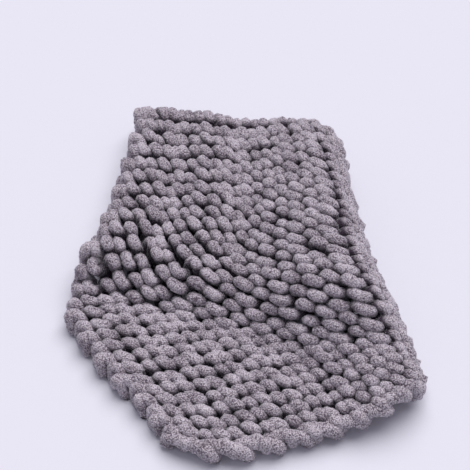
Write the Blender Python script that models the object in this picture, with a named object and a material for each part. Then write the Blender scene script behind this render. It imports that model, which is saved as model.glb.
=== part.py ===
"""Chunky hand-knit blanket, laid out on the floor with soft lengthwise folds.

The blanket is one thick sheet of cloth. Its near end lies flat, a ridge runs along its right side, two
low swells lie to the left of the ridge, and the far end is folded back under the rest along a slanting
line. Lengths are in metres. The sheet's middle surface is worked out first, as a function of a place
across (0 at the left edge, 1 at the right) and a place along (0 at the near edge, 1 at the far), and
then given its thickness.
"""

import math
from collections import namedtuple

import bmesh
import bpy
import numpy as np

# The cloth.
CLOTH_THICKNESS = 0.048  # two strands of yarn, one over the other
LAYER_GAP = 0.005  # between the spread part and the part folded under it
EDGE_BULGE = 0.012  # how far the rounded rim stands out past the last stitches

# The fold at the far end: a line through a point, with a slope from left to right. The turn is a half
# circle where the cloth is flat, and reaches out further by a share of the height of a lengthwise fold.
FOLD_X = -0.205
FOLD_Y = 0.868
FOLD_SLOPE = -0.23
NOSE = 0.35
COVER = 0.03  # how far past the folded-under part the spread part stays lifted
DESCENT = 0.12  # length over which it then comes down to the floor

# The grid of the solid.
STEPS_ACROSS = 22
STEPS_SPREAD = 30
STEPS_TURN = 7
STEPS_UNDER = 9
FINE_PLACES = 241  # places along a line at which the surface is worked out to measure lengths on it

# One row for each cross section, evenly spaced from the near edge to the far edge of the cloth: where its
# left and right ends lie on the floor, with the far end not yet folded under, and how high each
# lengthwise fold stands there.
Section = namedtuple("Section", "left_x left_y right_x right_y left_fold middle_fold right_ridge")
SECTIONS = (
    Section(-0.054, -0.034, 0.458, 0.116, 0.000, 0.000, 0.041),
    Section(-0.138, 0.108, 0.410, 0.218, 0.000, 0.000, 0.062),
    Section(-0.232, 0.238, 0.356, 0.326, 0.006, 0.000, 0.077),
    Section(-0.292, 0.370, 0.322, 0.438, 0.009, 0.008, 0.080),
    Section(-0.218, 0.548, 0.299, 0.556, 0.010, 0.018, 0.074),
    Section(-0.180, 0.726, 0.283, 0.688, 0.007, 0.016, 0.052),
    Section(-0.154, 0.905, 0.272, 0.836, 0.004, 0.008, 0.028),
    Section(-0.105, 1.098, 0.352, 1.012, 0.003, 0.006, 0.016),
    Section(-0.062, 1.285, 0.440, 1.200, 0.003, 0.006, 0.013),
)

# One row for each lengthwise fold, with its place at the near edge and at the far edge: the share of the
# width at which it peaks, and how far it reaches to the left and to the right of that, in the same shares.
# It falls off to the left as a cosine squared, and to the right as a cosine to a power of its own: the
# ridge's right flank comes down steeply onto the selvedge.
Fold = namedtuple(
    "Fold", "section_column near_peak near_left near_right far_peak far_left far_right right_power"
)
FOLDS = (
    Fold("left_fold", 0.10, 0.10, 0.15, 0.12, 0.12, 0.15, 2.0),
    Fold("middle_fold", 0.55, 0.16, 0.16, 0.26, 0.16, 0.18, 2.0),
    Fold("right_ridge", 0.90, 0.34, 0.10, 0.90, 0.46, 0.10, 1.2),
)

# The near corners are rounded: each is drawn in, lengthwise and across, by this share of the blanket, over
# this reach.
CORNER_PULL_ALONG = 0.044
CORNER_PULL_ACROSS = 0.045
CORNER_REACH = 0.30

YARN_COLOUR = (0.330, 0.285, 0.335, 1.0)


def smoothstep(value):
    """0 below 0, 1 above 1, and an even S-curve between them."""
    value = np.clip(value, 0.0, 1.0)
    return value * value * (3.0 - 2.0 * value)


def section_value(column, along):
    """A column of SECTIONS at each place along (0 near, 1 far), on a Catmull-Rom curve through its rows."""
    rows = np.array([getattr(section, column) for section in SECTIONS])
    rows = np.concatenate([[2.0 * rows[0] - rows[1]], rows, [2.0 * rows[-1] - rows[-2]]])
    place = np.clip(along, 0.0, 1.0) * (len(SECTIONS) - 1)
    first = np.minimum(place.astype(int), len(SECTIONS) - 2)
    t = place - first
    before, start, end, after = (rows[first + k] for k in range(4))
    return start + 0.5 * t * (
        (end - before)
        + t * ((2.0 * before - 5.0 * start + 4.0 * end - after) + t * (3.0 * (start - end) + after - before))
    )


def fold_height(across, along):
    """The lengthwise folds' height over the flat cloth: each is a swell about its peak."""
    height = np.zeros_like(across)
    for fold in FOLDS:
        peak = fold.near_peak + (fold.far_peak - fold.near_peak) * along
        reach_left = fold.near_left + (fold.far_left - fold.near_left) * along
        reach_right = fold.near_right + (fold.far_right - fold.near_right) * along
        reach = np.where(across < peak, reach_left, reach_right)
        swell = np.clip(np.abs(across - peak) / reach, 0.0, 1.0)
        peak_height = np.maximum(section_value(fold.section_column, along), 0.0)
        power = np.where(across < peak, 2.0, fold.right_power)
        height += peak_height * np.maximum(np.cos(0.5 * math.pi * swell), 0.0) ** power
    return height


def unfolded_place(across, along):
    """Where a place on the cloth would lie with the far end not folded: between its section's ends.

    Near a near corner the place is first drawn in, by a square that fades to nothing over the reach.
    """
    near = np.clip(1.0 - along / CORNER_REACH, 0.0, 1.0) ** 2
    left = near * np.clip(1.0 - across / CORNER_REACH, 0.0, 1.0) ** 2
    right = near * np.clip(1.0 - (1.0 - across) / CORNER_REACH, 0.0, 1.0) ** 2
    across = across + CORNER_PULL_ACROSS * (left - right)
    along = along + CORNER_PULL_ALONG * (left + right)
    left_x, left_y, right_x, right_y = (
        section_value(column, along) for column in ("left_x", "left_y", "right_x", "right_y")
    )
    return left_x + (right_x - left_x) * across, left_y + (right_y - left_y) * across


def turn_size(height):
    """How far the turn reaches out past the fold line, and its length: half an ellipse's."""
    half_layer = 0.5 * (CLOTH_THICKNESS + LAYER_GAP)
    reach = half_layer + NOSE * height
    rise = half_layer + 0.5 * height
    return reach, math.pi * np.sqrt(0.5 * (reach**2 + rise**2))


def from_fold_line(x, y):
    """The distance past the fold line, and the distance along it to the right."""
    run = math.hypot(1.0, FOLD_SLOPE)
    x, y = x - FOLD_X, y - FOLD_Y
    return (y - FOLD_SLOPE * x) / run, (x + FOLD_SLOPE * y) / run


def under_reach(sideways):
    """How far back from the fold line the folded-under part reaches, at each distance along the line."""
    corner_x, corner_y = unfolded_place(np.array([0.0, 1.0]), np.ones(2))
    past, corners = from_fold_line(corner_x, corner_y)
    turn = turn_size(0.0)[1]
    return np.interp(sideways, corners, past - turn)


def middle_point(across, along):
    """The middle surface. Past the fold line the cloth goes over the turn and back, flat on the floor."""
    x, y = unfolded_place(across, along)
    height = fold_height(across, along)
    past, sideways = from_fold_line(x, y)
    reach, turn = turn_size(height)
    angle = np.clip(past / turn, 0.0, 1.0) * math.pi
    back = np.maximum(past - turn, 0.0)
    kept = 0.5 * (1.0 + np.cos(angle))
    past = np.minimum(past, 0.0) + reach * np.sin(angle) - back

    lift = smoothstep((under_reach(sideways) + COVER + DESCENT + past) / DESCENT)
    layer = CLOTH_THICKNESS + LAYER_GAP
    z = 0.5 * CLOTH_THICKNESS + kept * (height + layer * lift)
    run = math.hypot(1.0, FOLD_SLOPE)
    x = FOLD_X + (sideways - FOLD_SLOPE * past) / run
    y = FOLD_Y + (FOLD_SLOPE * sideways + past) / run
    return np.stack([x, y, z], axis=-1)


def evenly_across(share, along):
    """The places across at equal shares of the cloth's own width, measured over its folds."""
    fine = np.linspace(0.0, 1.0, FINE_PLACES)
    x, y = unfolded_place(fine, np.full_like(fine, along))
    height = fold_height(fine, np.full_like(fine, along))
    run = np.concatenate([[0.0], np.cumsum(np.sqrt(np.diff(x) ** 2 + np.diff(y) ** 2 + np.diff(height) ** 2))])
    return np.interp(share * run[-1], run, fine)


def middle_surface():
    """The middle surface as an array of points, rows along the blanket and columns across it.

    Each column has its own places along, so that a row of points follows the fold line.
    """
    share = np.linspace(0.0, 1.0, STEPS_ACROSS + 1)
    fine = np.linspace(0.0, 1.0, FINE_PLACES)
    across_rows = np.array([evenly_across(share, along) for along in fine])
    columns = []
    for across in across_rows.T:
        past, _ = from_fold_line(*unfolded_place(across, fine))
        _, turn = turn_size(fold_height(across, fine))
        begins = np.interp(0.0, past, fine)
        ends = np.interp(0.0, past - turn, fine)
        along = np.concatenate(
            [
                np.linspace(0.0, begins, STEPS_SPREAD + 1),
                np.linspace(begins, ends, STEPS_TURN + 1)[1:],
                np.linspace(ends, 1.0, STEPS_UNDER + 1)[1:],
            ]
        )
        columns.append(middle_point(np.interp(along, fine, across), along))
    return np.stack(columns, axis=1)


def unit(vectors):
    """The vectors scaled to length 1."""
    return vectors / np.linalg.norm(vectors, axis=-1, keepdims=True)


def add_sheet(name, middle):
    """A closed solid half the cloth's thickness to each side of its middle surface, with a rounded rim."""
    rows, columns = middle.shape[:2]
    normal = unit(np.cross(np.gradient(middle, axis=1), np.gradient(middle, axis=0)))
    top = middle + 0.5 * CLOTH_THICKNESS * normal
    bottom = middle - 0.5 * CLOTH_THICKNESS * normal

    rim_cells = (
        [(0, column) for column in range(columns - 1)]
        + [(row, columns - 1) for row in range(rows - 1)]
        + [(rows - 1, column) for column in range(columns - 1, 0, -1)]
        + [(row, 0) for row in range(rows - 1, 0, -1)]
    )
    rim = np.array([middle[cell] for cell in rim_cells])
    rim_normal = np.array([normal[cell] for cell in rim_cells])
    rim_run = unit(np.roll(rim, -1, axis=0) - np.roll(rim, 1, axis=0))
    rim = rim + EDGE_BULGE * unit(np.cross(rim_run, rim_normal))

    bm = bmesh.new()
    top_verts = [[bm.verts.new(point) for point in row] for row in top]
    bottom_verts = [[bm.verts.new(point) for point in row] for row in bottom]
    rim_verts = [bm.verts.new(point) for point in rim]
    for row in range(rows - 1):
        for column in range(columns - 1):
            for verts, order in ((top_verts, 1), (bottom_verts, -1)):
                corners = (
                    verts[row][column],
                    verts[row][column + 1],
                    verts[row + 1][column + 1],
                    verts[row + 1][column],
                )
                bm.faces.new(corners[::order])
    for k, (row, column) in enumerate(rim_cells):
        next_k = (k + 1) % len(rim_cells)
        next_row, next_column = rim_cells[next_k]
        for verts, order in ((top_verts, 1), (bottom_verts, -1)):
            corners = (rim_verts[k], rim_verts[next_k], verts[next_row][next_column], verts[row][column])
            bm.faces.new(corners[::order])
    bmesh.ops.triangulate(bm, faces=bm.faces, quad_method="SHORT_EDGE")
    bmesh.ops.recalc_face_normals(bm, faces=bm.faces)

    mesh = bpy.data.meshes.new(name)
    bm.to_mesh(mesh)
    bm.free()
    mesh.shade_smooth()
    sheet = bpy.data.objects.new(name, mesh)
    bpy.context.collection.objects.link(sheet)
    return sheet


def yarn_material():
    """Soft chenille yarn, mauve grey and without shine."""
    material = bpy.data.materials.new("chenille_yarn")
    material.use_nodes = True
    shader = material.node_tree.nodes["Principled BSDF"]
    shader.inputs["Base Color"].default_value = YARN_COLOUR
    shader.inputs["Roughness"].default_value = 0.95
    shader.inputs["Metallic"].default_value = 0.0
    return material


def build():
    """The blanket, moved so that the middle of its footprint is at the origin."""
    for old in list(bpy.data.objects):
        bpy.data.objects.remove(old, do_unlink=True)
    blanket = add_sheet("blanket", middle_surface())
    blanket.data.materials.append(yarn_material())
    points = np.array([vertex.co[:] for vertex in blanket.data.vertices])
    centre = 0.5 * (points.min(axis=0) + points.max(axis=0))
    blanket.location = (-centre[0], -centre[1], 0.0)


build()
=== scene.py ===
"""Chunky hand-knit chenille blanket: one thick yarn, knitted course by course and laid out on the floor.

The cloth's middle surface is a function of a place across it (0 at the left selvedge, 1 at the right)
and a length along it (0 at the near edge). The yarn's own path is worked out in stitches and courses,
carried onto that surface, and given its round, plush body. All lengths are in metres.
"""

import math
from collections import namedtuple

import bpy
import numpy as np
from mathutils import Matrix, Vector


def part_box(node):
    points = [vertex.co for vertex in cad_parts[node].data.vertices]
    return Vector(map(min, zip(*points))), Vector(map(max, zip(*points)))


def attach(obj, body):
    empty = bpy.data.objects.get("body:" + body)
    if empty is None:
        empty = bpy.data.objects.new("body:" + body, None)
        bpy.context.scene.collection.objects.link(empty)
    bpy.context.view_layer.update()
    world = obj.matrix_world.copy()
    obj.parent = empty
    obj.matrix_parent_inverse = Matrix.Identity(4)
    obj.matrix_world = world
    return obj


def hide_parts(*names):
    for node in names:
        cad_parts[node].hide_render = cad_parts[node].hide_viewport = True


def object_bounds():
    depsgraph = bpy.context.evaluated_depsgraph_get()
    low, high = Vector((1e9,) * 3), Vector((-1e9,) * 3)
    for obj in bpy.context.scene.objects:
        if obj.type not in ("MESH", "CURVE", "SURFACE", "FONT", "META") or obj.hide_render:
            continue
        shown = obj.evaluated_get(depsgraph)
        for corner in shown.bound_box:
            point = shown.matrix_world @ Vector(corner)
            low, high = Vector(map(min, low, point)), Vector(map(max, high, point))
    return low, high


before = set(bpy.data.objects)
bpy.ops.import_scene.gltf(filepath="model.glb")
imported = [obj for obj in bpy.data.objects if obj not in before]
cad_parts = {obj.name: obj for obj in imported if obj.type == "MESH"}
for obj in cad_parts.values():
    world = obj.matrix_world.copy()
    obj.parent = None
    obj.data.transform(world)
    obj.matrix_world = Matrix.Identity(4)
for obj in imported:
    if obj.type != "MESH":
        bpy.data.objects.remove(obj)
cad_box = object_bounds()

# --- The cloth as it lies, with the same sizes as its solid -------------------------------------------

CLOTH_THICKNESS = 0.048  # two strands of yarn, one over the other
LAYER_GAP = 0.005  # between the spread part and the part folded under it
EDGE_BULGE = 0.012  # how far the rounded rim stands out past the last stitches

# The fold at the far end: a line through a point, with a slope from left to right. The turn is a half
# circle where the cloth is flat, and reaches out further by a share of the height of a lengthwise fold.
FOLD_X = -0.205
FOLD_Y = 0.868
FOLD_SLOPE = -0.23
NOSE = 0.35
COVER = 0.03  # how far past the folded-under part the spread part stays lifted
DESCENT = 0.12  # length over which it then comes down to the floor

# One row for each cross section, evenly spaced from the near edge to the far edge of the cloth: where its
# left and right ends lie on the floor, with the far end not yet folded under, and how high each
# lengthwise fold stands there.
Section = namedtuple("Section", "left_x left_y right_x right_y left_fold middle_fold right_ridge")
SECTIONS = (
    Section(-0.054, -0.034, 0.458, 0.116, 0.000, 0.000, 0.041),
    Section(-0.138, 0.108, 0.410, 0.218, 0.000, 0.000, 0.062),
    Section(-0.232, 0.238, 0.356, 0.326, 0.006, 0.000, 0.077),
    Section(-0.292, 0.370, 0.322, 0.438, 0.009, 0.008, 0.080),
    Section(-0.218, 0.548, 0.299, 0.556, 0.010, 0.018, 0.074),
    Section(-0.180, 0.726, 0.283, 0.688, 0.007, 0.016, 0.052),
    Section(-0.154, 0.905, 0.272, 0.836, 0.004, 0.008, 0.028),
    Section(-0.105, 1.098, 0.352, 1.012, 0.003, 0.006, 0.016),
    Section(-0.062, 1.285, 0.440, 1.200, 0.003, 0.006, 0.013),
)

# One row for each lengthwise fold, with its place at the near edge and at the far edge: the share of the
# width at which it peaks, and how far it reaches to the left and to the right of that, in the same shares.
# It falls off to the left as a cosine squared, and to the right as a cosine to a power of its own: the
# ridge's right flank comes down steeply onto the selvedge.
Fold = namedtuple(
    "Fold", "section_column near_peak near_left near_right far_peak far_left far_right right_power"
)
FOLDS = (
    Fold("left_fold", 0.10, 0.10, 0.15, 0.12, 0.12, 0.15, 2.0),
    Fold("middle_fold", 0.55, 0.16, 0.16, 0.26, 0.16, 0.18, 2.0),
    Fold("right_ridge", 0.90, 0.34, 0.10, 0.90, 0.46, 0.10, 1.2),
)

# The near corners are rounded: each is drawn in, lengthwise and across, by this share of the blanket, over
# this reach.
CORNER_PULL_ALONG = 0.044
CORNER_PULL_ACROSS = 0.045
CORNER_REACH = 0.30

# --- The knitting ------------------------------------------------------------------------------------

YARN_RADIUS = 0.0120
STITCHES = 10
COURSES = 36
EDGE_STITCH = 0.24  # how far a course runs on past its last stitch, in stitches
TURN_SWING = 0.07  # how far a selvedge turn swings out past that
EDGE_COURSE = 0.80  # room for the edge chains before the first course and after the last, in courses

# The stitches' widths. At the near edge the stitches at the left selvedge are wider than the mean by the
# near crowding and those at the right narrower by as much, with an even change between them. Over the
# crowding change, a share of the length, this gives way to the far part's own widths: wider than the mean
# by the far widening about one place, a share of the width, and narrower by as much half a width away.
NEAR_CROWDING = 0.24
CROWDING_CHANGE = 0.32
FAR_WIDENING = 0.05
WIDEST = 0.72

# The loops' form at the four corners of the cloth, with an even change between them. The bulge, in
# stitches, widens the heads and the sinkers and narrows the necks. The slant, in courses, lifts a head's
# left end and lowers its right one. Heads and sinkers stand off the course's middle by the reach, in
# courses. The lead, from 0 to 1, is the share of the three sizes below by which the heads are wider,
# more slanted and higher than the sinkers: in stitches, in courses and in metres.
Loop = namedtuple("Loop", "bulge slant reach lead")
NEAR_LEFT = Loop(0.02, 0.22, 0.55, 0.4)
NEAR_RIGHT = Loop(0.02, 0.22, 0.55, 0.4)
FAR_LEFT = Loop(0.06, 0.22, 0.54, 0.4)
FAR_RIGHT = Loop(0.05, 0.33, 0.51, 0.4)
LEAD_BULGE = 0.06
LEAD_SLANT = 0.15
LEAD_DEPTH = 0.0030

# The near form gives way to the far one about these shares of the length, at the left selvedge and at the
# right one, over the form change.
FORM_LEFT = 0.28
FORM_RIGHT = 0.00
FORM_CHANGE = 0.20

LOOP_DEPTH = 0.0168  # how far heads and sinkers come forward of the cloth's middle, and legs go behind it
LOOP_FLATNESS = 2.0  # how square the change between front and back is
CHANCE_ACROSS = 0.05  # the spread of the heads' and sinkers' own shifts: across in stitches,
CHANCE_ALONG = 0.08  # along in courses,
CHANCE_FORWARD = 0.0012  # and forward in metres

# The chains along the short edges, each about its own middle, in courses.
CAST_OFF_MIDDLE = -0.48
CAST_ON_MIDDLE = COURSES - 0.40
LINKS = 9
LINK_RUN = 0.34  # how far a link's front leg leads on along the edge, in links, and
LINK_SWING = 0.36  # how far it swings outward, in courses
LINK_DEPTH = 0.0125
LINK_FLATNESS = 1.2
LINK_RADIUS = 0.0135
LINK_OVERRUN = 0.1  # how far a chain runs on past the outer stitches, in stitches

# The yarn's body.
POINTS_PER_STITCH = 40
PILE_STEP = 0.0038  # between the tube's rings
SIDES = 20
DOME_RINGS = 3  # in each domed end
TIP_REACH = 0.08  # from a dome's last ring to its tip, in radii
SWELL_RINGS = 6  # from one swelling of the yarn to the next, in rings
SWELL_SPREAD = 0.045  # of the radius, along the yarn
PILE_SPREAD = 0.075  # of the radius, from point to point
RIM_REACH = 0.6  # the painted shade of the gaps comes in over this from the edges, in stitches or courses
COURSES_PER_PIECE = 7
FLOOR_GAP = 0.0003  # the undersides of the lowest loops are pressed flat, this far above the floor
SEED = 4


def smoothstep(value):
    """0 below 0, 1 above 1, and an even S-curve between them."""
    value = np.clip(value, 0.0, 1.0)
    return value * value * (3.0 - 2.0 * value)


def mix(first, second, share):
    """The value a share of the way from the first to the second."""
    return first + (second - first) * share


def section_value(column, along):
    """A column of SECTIONS at each place along (0 near, 1 far), on a Catmull-Rom curve through its rows."""
    rows = np.array([getattr(section, column) for section in SECTIONS])
    rows = np.concatenate([[2.0 * rows[0] - rows[1]], rows, [2.0 * rows[-1] - rows[-2]]])
    place = np.clip(along, 0.0, 1.0) * (len(SECTIONS) - 1)
    first = np.minimum(place.astype(int), len(SECTIONS) - 2)
    t = place - first
    before, start, end, after = (rows[first + k] for k in range(4))
    return start + 0.5 * t * (
        (end - before)
        + t * ((2.0 * before - 5.0 * start + 4.0 * end - after) + t * (3.0 * (start - end) + after - before))
    )


def fold_height(across, along):
    """The lengthwise folds' height over the flat cloth: each is a swell about its peak."""
    height = np.zeros_like(across)
    for fold in FOLDS:
        peak = fold.near_peak + (fold.far_peak - fold.near_peak) * along
        reach_left = fold.near_left + (fold.far_left - fold.near_left) * along
        reach_right = fold.near_right + (fold.far_right - fold.near_right) * along
        reach = np.where(across < peak, reach_left, reach_right)
        swell = np.clip(np.abs(across - peak) / reach, 0.0, 1.0)
        peak_height = np.maximum(section_value(fold.section_column, along), 0.0)
        power = np.where(across < peak, 2.0, fold.right_power)
        height += peak_height * np.maximum(np.cos(0.5 * math.pi * swell), 0.0) ** power
    return height


def unfolded_place(across, along):
    """Where a place on the cloth would lie with the far end not folded: between its section's ends.

    Near a near corner the place is first drawn in, by a square that fades to nothing over the reach.
    """
    near = np.clip(1.0 - along / CORNER_REACH, 0.0, 1.0) ** 2
    left = near * np.clip(1.0 - across / CORNER_REACH, 0.0, 1.0) ** 2
    right = near * np.clip(1.0 - (1.0 - across) / CORNER_REACH, 0.0, 1.0) ** 2
    across = across + CORNER_PULL_ACROSS * (left - right)
    along = along + CORNER_PULL_ALONG * (left + right)
    left_x, left_y, right_x, right_y = (
        section_value(column, along) for column in ("left_x", "left_y", "right_x", "right_y")
    )
    return left_x + (right_x - left_x) * across, left_y + (right_y - left_y) * across


def turn_size(height):
    """How far the turn reaches out past the fold line, and its length: half an ellipse's."""
    half_layer = 0.5 * (CLOTH_THICKNESS + LAYER_GAP)
    reach = half_layer + NOSE * height
    rise = half_layer + 0.5 * height
    return reach, math.pi * np.sqrt(0.5 * (reach**2 + rise**2))


def from_fold_line(x, y):
    """The distance past the fold line, and the distance along it to the right."""
    run = math.hypot(1.0, FOLD_SLOPE)
    x, y = x - FOLD_X, y - FOLD_Y
    return (y - FOLD_SLOPE * x) / run, (x + FOLD_SLOPE * y) / run


def under_reach(sideways):
    """How far back from the fold line the folded-under part reaches, at each distance along the line."""
    corner_x, corner_y = unfolded_place(np.array([0.0, 1.0]), np.ones(2))
    past, corners = from_fold_line(corner_x, corner_y)
    turn = turn_size(0.0)[1]
    return np.interp(sideways, corners, past - turn)


def middle_point(across, along):
    """The middle surface. Past the fold line the cloth goes over the turn and back, flat on the floor."""
    x, y = unfolded_place(across, along)
    height = fold_height(across, along)
    past, sideways = from_fold_line(x, y)
    reach, turn = turn_size(height)
    angle = np.clip(past / turn, 0.0, 1.0) * math.pi
    back = np.maximum(past - turn, 0.0)
    kept = 0.5 * (1.0 + np.cos(angle))
    past = np.minimum(past, 0.0) + reach * np.sin(angle) - back

    lift = smoothstep((under_reach(sideways) + COVER + DESCENT + past) / DESCENT)
    layer = CLOTH_THICKNESS + LAYER_GAP
    z = 0.5 * CLOTH_THICKNESS + kept * (height + layer * lift)
    run = math.hypot(1.0, FOLD_SLOPE)
    x = FOLD_X + (sideways - FOLD_SLOPE * past) / run
    y = FOLD_Y + (FOLD_SLOPE * sideways + past) / run
    return np.stack([x, y, z], axis=-1)


def unit(vectors):
    """The vectors scaled to length 1."""
    return vectors / np.linalg.norm(vectors, axis=-1, keepdims=True)


class Cloth:
    """The middle surface on a fine grid: rows evenly along, columns at even shares of the cloth's width."""

    columns = 161
    rows = 401
    measured_columns = 401

    def __init__(self):
        """Measures each row's width on still finer columns, then places the grid's columns by it."""
        fine = np.linspace(0.0, 1.0, self.measured_columns)
        fine = np.broadcast_to(fine, (self.rows, self.measured_columns))
        along = np.linspace(0.0, 1.0, self.rows)[:, None]
        x, y = unfolded_place(fine, along + 0.0 * fine)
        z = fold_height(fine, along + 0.0 * fine)
        steps = np.sqrt(np.diff(x) ** 2 + np.diff(y) ** 2 + np.diff(z) ** 2)
        run = np.concatenate([np.zeros((self.rows, 1)), np.cumsum(steps, axis=1)], axis=1)
        share = np.linspace(0.0, 1.0, self.columns)
        across = np.array([np.interp(share * row[-1], row, fine[0]) for row in run])
        self.points = middle_point(across, along + 0.0 * across)
        self.normals = unit(np.cross(np.gradient(self.points, axis=1), np.gradient(self.points, axis=0)))

    def centre_on(self, box):
        """Slides the surface so that its footprint's middle is the middle of a box on the floor."""
        flat = self.points[..., :2].reshape(-1, 2)
        middle = 0.5 * (flat.min(axis=0) + flat.max(axis=0))
        self.points[..., :2] += 0.5 * (np.array(box[0])[:2] + np.array(box[1])[:2]) - middle

    def read(self, grid, share, along):
        """A grid of vectors at each place, straight between grid points and on past the edges."""
        column = share * (self.columns - 1)
        row = along * (self.rows - 1)
        c0 = np.clip(column.astype(int), 0, self.columns - 2)
        r0 = np.clip(row.astype(int), 0, self.rows - 2)
        c = (column - c0)[..., None]
        r = (row - r0)[..., None]
        near = grid[r0, c0] * (1.0 - c) + grid[r0, c0 + 1] * c
        far = grid[r0 + 1, c0] * (1.0 - c) + grid[r0 + 1, c0 + 1] * c
        return near * (1.0 - r) + far * r


def on_cloth(cloth, stitch, course, forward):
    """Points in stitches across, courses along and metres forward of the middle, carried onto the cloth.

    Across the near part the stitches' width changes evenly from the left to the right, so a place is
    shifted by a parabola. Across the far part it is the mean plus a cosine about the place where the
    stitches are widest, so the shift is by a sine. Also returns the cloth's normal at each point.
    """
    share = (stitch + EDGE_STITCH) / (STITCHES + 2.0 * EDGE_STITCH)
    along = (course + EDGE_COURSE) / (COURSES - 1.0 + 2.0 * EDGE_COURSE)
    far = smoothstep(along / CROWDING_CHANGE)
    turn = 2.0 * math.pi
    widened = (np.sin(turn * (share - WIDEST)) + math.sin(turn * WIDEST)) / turn
    share = share + mix(NEAR_CROWDING * share * (1.0 - share), FAR_WIDENING * widened, far)
    normals = unit(cloth.read(cloth.normals, share, along))
    return cloth.read(cloth.points, share, along) + forward[:, None] * normals, normals


def flattened(wave, flatness):
    """A wave between -1 and 1, squared off by a tanh and scaled to reach from -1 to 1 again."""
    return np.tanh(flatness * wave) / math.tanh(flatness)


def course_path(number, chance):
    """One course of loops from the left selvedge to the right, in stitches, courses and metres.

    With an angle that turns once a stitch, the path goes across by the stitch plus a sine of twice the
    angle, which necks each loop; up and down the course by its cosine; and forward by the cosine of
    twice the angle, flattened by a tanh, so that heads and sinkers lie in front and the legs behind. A
    sine of twice the angle slants the heads and the sinkers. The lead's terms turn once a stitch, so
    they raise the heads and lower the sinkers. Each head and sinker is also shifted a little by chance.
    """
    place = np.linspace(-EDGE_STITCH, STITCHES + EDGE_STITCH, STITCHES * POINTS_PER_STITCH + 1)
    angle = 2.0 * math.pi * (place - 0.5)
    head = 0.5 * (1.0 + np.cos(angle))
    nearest = np.clip(place.astype(int), 0, STITCHES - 1)
    sinker = np.clip(np.round(place).astype(int), 0, STITCHES)
    shift_heads = chance.normal(0.0, 1.0, (3, STITCHES))[:, nearest]
    shift_sinkers = chance.normal(0.0, 1.0, (3, STITCHES + 1))[:, sinker]
    shift = shift_heads * head + shift_sinkers * (1.0 - head)

    across = place / STITCHES
    far = smoothstep((number / COURSES - mix(FORM_LEFT, FORM_RIGHT, across)) / FORM_CHANGE + 0.5)
    bulge, slant, reach, lead = (
        mix(mix(near_left, near_right, across), mix(far_left, far_right, across), far)
        for near_left, near_right, far_left, far_right in zip(NEAR_LEFT, NEAR_RIGHT, FAR_LEFT, FAR_RIGHT)
    )
    once, twice = np.sin(angle), np.sin(2.0 * angle)
    stitch = place + bulge * twice + LEAD_BULGE * lead * once
    course = number - reach * np.cos(angle) - slant * twice - LEAD_SLANT * lead * once
    forward = LOOP_DEPTH * flattened(np.cos(2.0 * angle), LOOP_FLATNESS) + LEAD_DEPTH * lead * np.cos(angle)
    spread = np.array([CHANCE_ACROSS, CHANCE_ALONG, CHANCE_FORWARD])
    return np.stack([stitch, course, forward]) + spread[:, None] * shift


def selvedge_turn(start, end, side):
    """The half turn at a selvedge, from the end of one course to the start of the next.

    It swings out by a sine and dips behind the cloth and back by a cosine of twice the angle.
    """
    angle = np.linspace(0.0, math.pi, POINTS_PER_STITCH // 2 + 1)[1:-1]
    ease = 0.5 * (1.0 - np.cos(angle))
    stitch = start[0] + (end[0] - start[0]) * ease + side * TURN_SWING * np.sin(angle)
    course = start[1] + (end[1] - start[1]) * angle / math.pi
    forward = 0.5 * (start[2] + end[2]) * np.cos(2.0 * angle)
    return np.stack([stitch, course, forward])


def knitted_path(first, last, chance):
    """The yarn through the courses first to last, back and forth with a turn at each selvedge."""
    parts = []
    for number in range(first, last + 1):
        path = course_path(number, chance)
        if number % 2:
            path = path[:, ::-1]
        if parts:
            side = 1.0 if number % 2 else -1.0
            parts.append(selvedge_turn(parts[-1][:, -1], path[:, 0], side))
        parts.append(path)
    return np.concatenate(parts, axis=1)


def edge_chain(middle_course, outward):
    """The chain along a short edge: a slanted coil about it, one turn a link.

    It goes forward by a sine, flattened by a tanh, and outward by minus a cosine of its angle. It runs
    along faster in front than behind, so each link's front leg is a long slanted bar.
    """
    place = np.linspace(-LINK_OVERRUN, STITCHES + LINK_OVERRUN, STITCHES * POINTS_PER_STITCH)
    angle = 2.0 * math.pi * place * LINKS / STITCHES
    stitch = place - LINK_RUN * STITCHES / LINKS * np.cos(angle)
    course = middle_course - outward * LINK_SWING * np.cos(angle)
    forward = LINK_DEPTH * flattened(np.sin(angle), LINK_FLATNESS)
    return np.stack([stitch, course, forward])


def with_domes(values):
    """A row for each ring, with the first and the last row repeated for the rings of the domed ends."""
    margins = [(DOME_RINGS, DOME_RINGS)] + [(0, 0)] * (values.ndim - 1)
    return np.pad(values, margins, mode="edge")


def tube_faces(count):
    """The faces of a tube of so many rings: quads between the rings, and a fan to a tip at each end.

    The first tip comes after all the rings' points, and the last tip after it.
    """
    ring = np.arange(count - 1)[:, None] * SIDES
    here = np.arange(SIDES)
    there = (here + 1) % SIDES
    quads = np.stack([ring + here, ring + SIDES + here, ring + SIDES + there, ring + there], axis=-1)
    first_tip = count * SIDES
    last_tip = first_tip + 1
    last_ring = (count - 1) * SIDES
    start_fan = np.stack([np.full(SIDES, first_tip), here, there], axis=-1)
    end_fan = np.stack([np.full(SIDES, last_tip), last_ring + there, last_ring + here], axis=-1)
    return quads.reshape(-1, 4).tolist() + start_fan.tolist() + end_fan.tolist()


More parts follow.
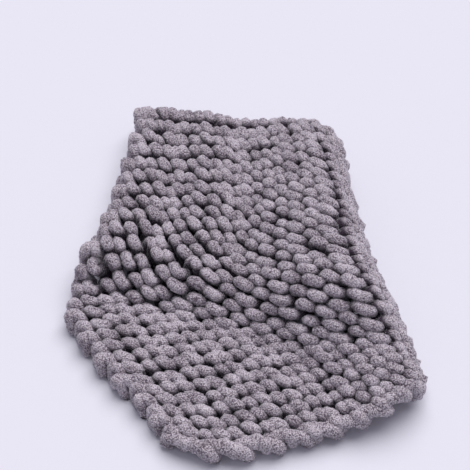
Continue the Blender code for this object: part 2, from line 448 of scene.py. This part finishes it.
def plush_tube(name, points, normals, forward, rim, radius, chance):
    """A round closed tube along a path: a ring of sides about each point, square to the path.

    The path is first cut into even steps. Each ring's sides go round from the side direction, which is
    square to the path and to the cloth's normal. The radius swells and thins a little along the path and
    from point to point, as plush yarn does, and both ends are domed. The attribute "crown" says how far
    each point stands from the cloth's middle, as a share of the most that it can. It rises to 1 at the
    rim. The material paints shade into the yarn's colour where the crown is low, between the loops.
    """
    run = np.concatenate([[0.0], np.cumsum(np.linalg.norm(np.diff(points, axis=0), axis=1))])
    steps = np.linspace(0.0, run[-1], int(run[-1] / PILE_STEP))
    points, normals = (
        np.stack([np.interp(steps, run, column) for column in grid.T], axis=1) for grid in (points, normals)
    )
    forward, rim = np.interp(steps, run, forward), np.interp(steps, run, rim)
    tangent = unit(np.gradient(points, axis=0))
    side = unit(np.cross(tangent, normals))
    up = np.cross(side, tangent)

    dome = np.sin(0.5 * math.pi * np.arange(1, DOME_RINGS + 1) / (DOME_RINGS + 1.0))
    narrow = np.sqrt(1.0 - dome**2)
    before = points[0] - tangent[0] * radius * dome[::-1, None]
    after = points[-1] + tangent[-1] * radius * dome[:, None]
    swell = np.concatenate([narrow[::-1], np.ones(len(points)), narrow])
    points = np.concatenate([before, points, after])
    side, up, normals = with_domes(side), with_domes(up), with_domes(normals)
    forward, rim = with_domes(forward), with_domes(rim)
    count = len(points)

    knots = chance.normal(0.0, 1.0, count // SWELL_RINGS + 2)
    swell *= 1.0 + SWELL_SPREAD * np.interp(np.arange(count) / SWELL_RINGS, np.arange(len(knots)), knots)
    pile = radius * swell[:, None] * (1.0 + chance.normal(0.0, PILE_SPREAD, (count, SIDES)))
    angle = 2.0 * math.pi * np.arange(SIDES) / SIDES
    spoke = np.cos(angle)[:, None] * side[:, None] + np.sin(angle)[:, None] * up[:, None]
    rings = points[:, None] + pile[..., None] * spoke
    ends = tangent[[0, -1]] * radius * TIP_REACH
    tips = np.array([points[0] - ends[0], points[-1] + ends[1]])
    verts = np.concatenate([rings.reshape(-1, 3), tips])
    verts[:, 2] = np.maximum(verts[:, 2], FLOOR_GAP)

    # The crown masks the painted shade between the loops: where it is low, deep in the cloth, the material
    # darkens the colour.
    stand = np.abs(forward[:, None] + radius * np.sum(spoke * normals[:, None], axis=-1))
    crown = np.maximum(stand / (LOOP_DEPTH + radius), rim[:, None])
    crown = np.append(crown.ravel(), [1.0, 1.0])

    mesh = bpy.data.meshes.new(name)
    mesh.from_pydata(verts, [], tube_faces(count))
    mesh.shade_smooth()
    mesh.attributes.new("crown", "FLOAT", "POINT").data.foreach_set("value", crown)
    tube = bpy.data.objects.new(name, mesh)
    bpy.context.collection.objects.link(tube)
    return tube


# --- Materials ---------------------------------------------------------------------------------------

# The pile's pattern: scales of the fine grain, the tufts and the slow drift. Its colour goes from the
# roots' to the tips' by the specks: their mean, plus a share of the grain, less a share of the tufts,
# plus the drift, each of the three about its own middle.
GRAIN_SCALE = 520.0
TUFTS_SCALE = 300.0
DRIFT_SCALE = 24.0
ROOT_COLOUR = (0.135, 0.105, 0.140)
TIP_COLOUR = (0.765, 0.699, 0.780)
SPECKS_MEAN = 0.58
GRAIN_SPECKS = 2.0
TUFTS_SPECKS = 1.4
GRAIN_MIDDLE = 0.5
TUFTS_MIDDLE = 0.45
DRIFT_MIDDLE = 0.5

# Painted shade: the gaps between the loops, where shade falls, are painted dark into the colour. The share
# of the pile's own colour is the crown times this rise, less this start.
GAP_PAINTED_SHADE = (0.050, 0.034, 0.054)
CROWN_RISE = 3.0
CROWN_START = 1.55

BUMP_GRAIN = 0.7
BUMP_DISTANCE = 0.0022
SHEEN_TINT = (0.88, 0.85, 0.92)
FLOOR_COLOUR = (0.778, 0.776, 0.860)


class Socket:
    """A node's output, on which + - and * build Math nodes."""

    def __init__(self, shader, output):
        self.shader = shader
        self.output = output

    def _math(self, operation, first, second):
        return self.shader.add("ShaderNodeMath", {"operation": operation}, {0: first, 1: second})

    def __add__(self, other):
        return self._math("ADD", self, other)

    def __radd__(self, other):
        return self._math("ADD", other, self)

    def __sub__(self, other):
        return self._math("SUBTRACT", self, other)

    def __mul__(self, other):
        return self._math("MULTIPLY", self, other)


class Shader:
    """A material's node tree."""

    def __init__(self, name):
        self.material = bpy.data.materials.new(name)
        self.material.use_nodes = True
        self.tree = self.material.node_tree
        self.principled = self.tree.nodes["Principled BSDF"]

    def feed(self, node, key, value):
        """Links a Socket to a node's input, or sets the input to a plain value. Colours are opaque."""
        if isinstance(value, Socket):
            self.tree.links.new(value.output, node.inputs[key])
        elif isinstance(value, tuple):
            node.inputs[key].default_value = (*value, 1.0)
        else:
            node.inputs[key].default_value = value

    def add(self, kind, settings, values, output=0):
        """A new node of a kind, its settings set first, then its inputs' values or links."""
        node = self.tree.nodes.new(kind)
        for key, value in settings.items():
            setattr(node, key, value)
        for key, value in values.items():
            self.feed(node, key, value)
        return Socket(self, node.outputs[output])

    def mix_colours(self, share, first, second):
        """The colour a share of the way, from 0 to 1, from the first to the second."""
        settings = {"data_type": "RGBA", "clamp_factor": True}
        first_colour, second_colour, mixed_colour = 6, 7, 2  # the node's inputs and output for colours
        values = {"Factor": share, first_colour: first, second_colour: second}
        return self.add("ShaderNodeMix", settings, values, mixed_colour)

    def set(self, **values):
        """Values or links of the Principled BSDF, by input name with _ for a space."""
        for key, value in values.items():
            self.feed(self.principled, key.replace("_", " "), value)


def chenille():
    """Mauve-grey chenille: short dense pile in small tufts, speckled, with painted shade between the loops.

    The bump's height is a share of the grain less the distance from each tuft's middle.
    """
    shader = Shader("chenille_yarn")
    place = shader.add("ShaderNodeTexCoord", {}, {}, "Object")
    crown = shader.add("ShaderNodeAttribute", {"attribute_name": "crown"}, {}, "Fac")
    grain = shader.add(
        "ShaderNodeTexNoise", {}, {"Vector": place, "Scale": GRAIN_SCALE, "Detail": 1.0, "Roughness": 0.6}
    )
    tufts = shader.add("ShaderNodeTexVoronoi", {}, {"Vector": place, "Scale": TUFTS_SCALE})
    drift = shader.add("ShaderNodeTexNoise", {}, {"Vector": place, "Scale": DRIFT_SCALE, "Detail": 1.0})
    specks = (
        SPECKS_MEAN
        + (grain - GRAIN_MIDDLE) * GRAIN_SPECKS
        - (tufts - TUFTS_MIDDLE) * TUFTS_SPECKS
        + (drift - DRIFT_MIDDLE)
    )
    pile = shader.mix_colours(specks, ROOT_COLOUR, TIP_COLOUR)
    # Painted shade: the colour goes to the dark gap colour where the crown is low, between the loops.
    colour = shader.mix_colours(crown * CROWN_RISE - CROWN_START, GAP_PAINTED_SHADE, pile)
    height = grain * BUMP_GRAIN - tufts
    bump = shader.add(
        "ShaderNodeBump", {}, {"Height": height, "Strength": 1.0, "Distance": BUMP_DISTANCE}
    )
    shader.set(Base_Color=colour, Roughness=0.95, Normal=bump, Specular_IOR_Level=0.10)
    shader.set(Sheen_Weight=0.7, Sheen_Roughness=0.40, Sheen_Tint=SHEEN_TINT)
    return shader.material


def plain_floor():
    """A plain pale lilac-white studio floor."""
    shader = Shader("studio_floor")
    shader.set(Base_Color=FLOOR_COLOUR, Roughness=0.9, Specular_IOR_Level=0.1)
    return shader.material


# --- The studio --------------------------------------------------------------------------------------

CAMERA_AZIMUTH = 0.0
CAMERA_ELEVATION = 50.0
CAMERA_DISTANCE = 3.2
CAMERA_LENS = 116.0
CAMERA_SENSOR = 36.0
CAMERA_AIM_LEFT = 0.010  # the camera aims this far to the left of the middle of the blanket
CAMERA_AIM_PAST = 0.06  # and this far behind it
FLOOR_HALF = 40.0
SKY_COLOUR = (0.93, 0.91, 1.0)
SKY_STRENGTH = 0.32


def add_floor():
    """A level square floor under the blanket, wide enough to reach past the view at low angles."""
    half = FLOOR_HALF
    mesh = bpy.data.meshes.new("floor")
    corners = [(-half, -half, 0.0), (half, -half, 0.0), (half, half, 0.0), (-half, half, 0.0)]
    mesh.from_pydata(corners, [], [(0, 1, 2, 3)])
    mesh.materials.append(plain_floor())
    floor = bpy.data.objects.new("floor", mesh)
    bpy.context.collection.objects.link(floor)


def add_sun(name, azimuth, elevation, softness, power, colour):
    """A distant soft light that shines down from an elevation and an azimuth, turned from +X to +Y.

    Both are in degrees, and so is the softness: how wide the light looks from the blanket.
    """
    light = bpy.data.lights.new(name, "SUN")
    light.angle = math.radians(softness)
    light.energy = power
    light.color = colour
    lamp = bpy.data.objects.new(name, light)
    lamp.rotation_euler = (0.0, math.radians(90.0 - elevation), math.radians(azimuth))
    bpy.context.collection.objects.link(lamp)


def add_studio():
    """Even pale light from all round, and one broad soft light from high up, behind and to the right."""
    world = bpy.data.worlds.new("studio")
    world.use_nodes = True
    background = world.node_tree.nodes["Background"]
    background.inputs["Color"].default_value = (*SKY_COLOUR, 1.0)
    background.inputs["Strength"].default_value = SKY_STRENGTH
    bpy.context.scene.world = world
    add_sun(
        "overhead", azimuth=65.0, elevation=66.0, softness=58.0, power=2.58, colour=(1.0, 0.98, 0.99)
    )
    bpy.context.scene.view_settings.view_transform = "Standard"


def add_camera():
    """A long lens in front of the blanket and well above it, aimed at the middle of it."""
    low, high = cad_box
    target = 0.5 * (Vector(low) + Vector(high)) + Vector((-CAMERA_AIM_LEFT, CAMERA_AIM_PAST, 0.0))
    azimuth, elevation = math.radians(CAMERA_AZIMUTH), math.radians(CAMERA_ELEVATION)
    back = Vector(
        (
            math.sin(azimuth) * math.cos(elevation),
            -math.cos(azimuth) * math.cos(elevation),
            math.sin(elevation),
        )
    )
    camera = bpy.data.cameras.new("camera")
    camera.lens = CAMERA_LENS
    camera.sensor_width = CAMERA_SENSOR
    holder = bpy.data.objects.new("camera", camera)
    holder.location = target + back * CAMERA_DISTANCE
    holder.rotation_euler = (-back).to_track_quat("-Z", "Y").to_euler()
    bpy.context.collection.objects.link(holder)
    bpy.context.scene.camera = holder


# --- The blanket -------------------------------------------------------------------------------------

cloth = Cloth()
cloth.centre_on(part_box("blanket"))
yarn = chenille()


def add_yarn(name, path, radius, chance):
    """A length of the yarn: its path carried onto the cloth, its plush body and material.

    The rim is 1 at the cloth's edges, where no shade is painted between the loops, and falls to 0 a little
    inside them.
    """
    points, normals = on_cloth(cloth, *path)
    stitch, course = path[:2]
    inside = np.min([stitch, STITCHES - stitch, course, COURSES - 1.0 - course], axis=0)
    rim = 1.0 - smoothstep(inside / RIM_REACH)
    tube = plush_tube(name, points, normals, path[2], rim, radius, chance)
    tube.data.materials.append(yarn)
    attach(tube, "root")
    return tube


def add_blanket():
    """All the yarn: bands of courses, then the cast-off and cast-on edges."""
    chance = np.random.default_rng(SEED)
    for band, first in enumerate(range(0, COURSES, COURSES_PER_PIECE), start=1):
        last = min(first + COURSES_PER_PIECE, COURSES) - 1
        tube = add_yarn(f"knitted_band_{band}", knitted_path(first, last, chance), YARN_RADIUS, chance)
        if band == 1:
            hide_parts("blanket")
    add_yarn("cast_off_edge", edge_chain(CAST_OFF_MIDDLE, -1.0), LINK_RADIUS, chance)
    add_yarn("cast_on_edge", edge_chain(CAST_ON_MIDDLE, 1.0), LINK_RADIUS, chance)


add_camera()
add_blanket()
add_floor()
add_studio()
